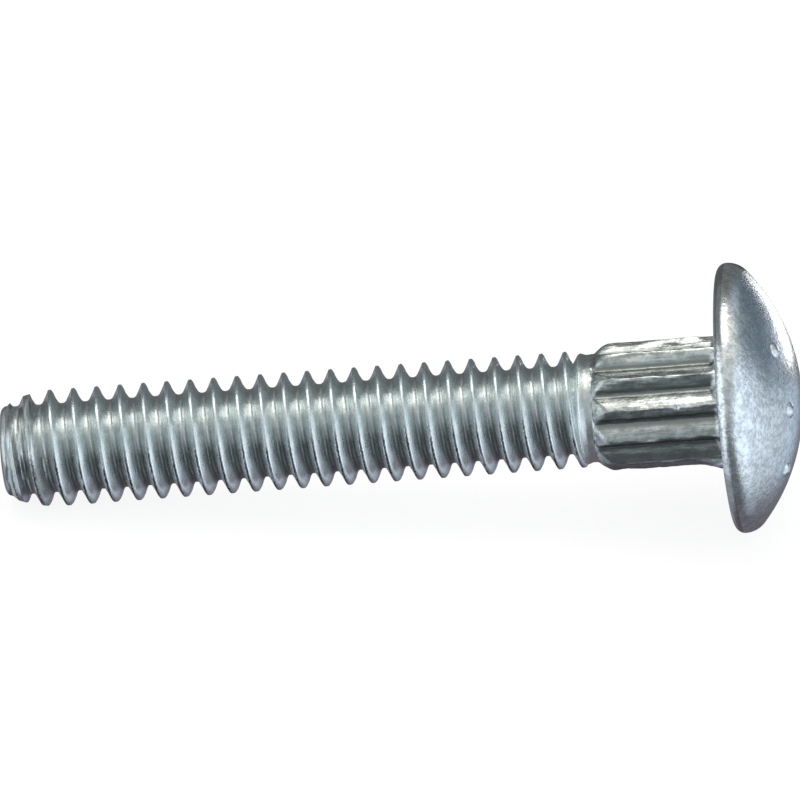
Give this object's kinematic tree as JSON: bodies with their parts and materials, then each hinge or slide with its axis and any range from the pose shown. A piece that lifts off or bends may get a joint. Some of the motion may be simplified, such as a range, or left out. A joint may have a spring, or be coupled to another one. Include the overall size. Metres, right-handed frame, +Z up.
{
  "type": "ribbed-neck carriage bolt",
  "caption": "Zinc-plated carriage bolt: low domed head, ribbed neck that grips its hole, short plain neck and coarse right-hand thread to a pointed end.",
  "frame": {"origin": "middle of the bolt's box, on the surface that it lies on", "axes": "+X along the lying bolt towards its head, +Z up; the bolt's own axis rises 6.4 degrees towards the head"},
  "size_m": [0.0432, 0.0146, 0.0145],
  "materials": {
    "zinc": "bright blue-white zinc plating, satin, with a fine mottled grain"
  },
  "bodies": {
    "root": {"bolt": "zinc"}
  },
  "joints": []
}
